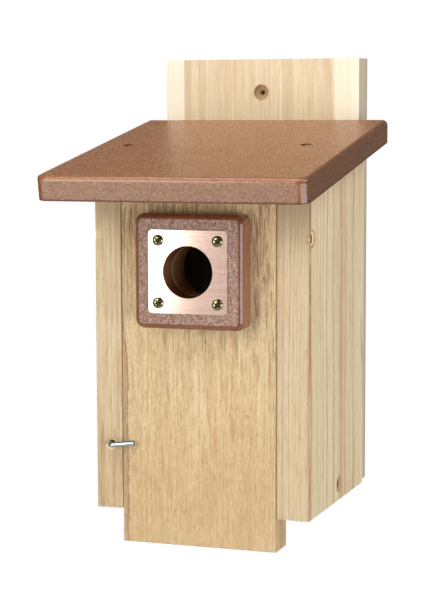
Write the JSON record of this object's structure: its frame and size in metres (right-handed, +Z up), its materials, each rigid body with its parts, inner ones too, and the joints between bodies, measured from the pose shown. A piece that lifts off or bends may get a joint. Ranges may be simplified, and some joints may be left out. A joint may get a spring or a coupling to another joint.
{
  "type": "birdhouse",
  "caption": "Cedar nest box with a sloping recycled-plastic roof, a guard block and copper plate round the entrance, a front board that swings up to open, and a bent-nail latch.",
  "frame": {"origin": "axis of the hanging-screw hole, where it meets the back board's rear face", "axes": "+Z up along the back board, -Y out of the front through the entrance, +X to the right of someone facing the entrance"},
  "size_m": [0.2022, 0.2445, 0.3622],
  "materials": {
    "cedar_smooth": "planed cedar, pale, fine straight grain, unfinished",
    "cedar_rough": "rough-sawn cedar, golden tan, fuzzy vertical grain, unfinished",
    "recycled_plastic": "recycled plastic lumber, reddish brown, speckled, fine pebbled surface",
    "recycled_plastic_block": "recycled plastic lumber, reddish brown with pale fibrous flecks",
    "copper": "copper sheet, brushed across",
    "zinc_yellow": "yellow-green zinc-plated steel",
    "zinc_bright": "zinc-plated steel",
    "zinc_nail": "bright zinc-plated steel wire"
  },
  "bodies": {
    "box": {"back_board": "cedar_smooth", "left_side": "cedar_smooth", "right_side": "cedar_smooth", "floor_board": "cedar_smooth", "roof": "recycled_plastic", "roof_screws": "zinc_bright", "left_pivot_screw": "zinc_bright", "right_pivot_screw": "zinc_bright", "floor_side_screws": "zinc_bright", "floor_back_screws": "zinc_bright", "left_back_screws": "zinc_bright", "right_back_screws": "zinc_bright"},
    "door": {"front_door": "cedar_rough", "entrance_block": "recycled_plastic_block", "copper_portal": "copper", "portal_screws": "zinc_yellow"},
    "latch": {"latch_nail": "zinc_nail"}
  },
  "joints": [
    {"name": "door_hinge", "type": "hinge", "parent": "box", "child": "door", "pos_m": [-0.0008, -0.1673, -0.106], "axis": [-1, 0, 0], "range_deg": [0, 95]},
    {"name": "latch_turn", "type": "hinge", "parent": "box", "child": "latch", "pos_m": [-0.07, -0.1726, -0.2628], "axis": [0, -1, 0], "continuous": true}
  ]
}
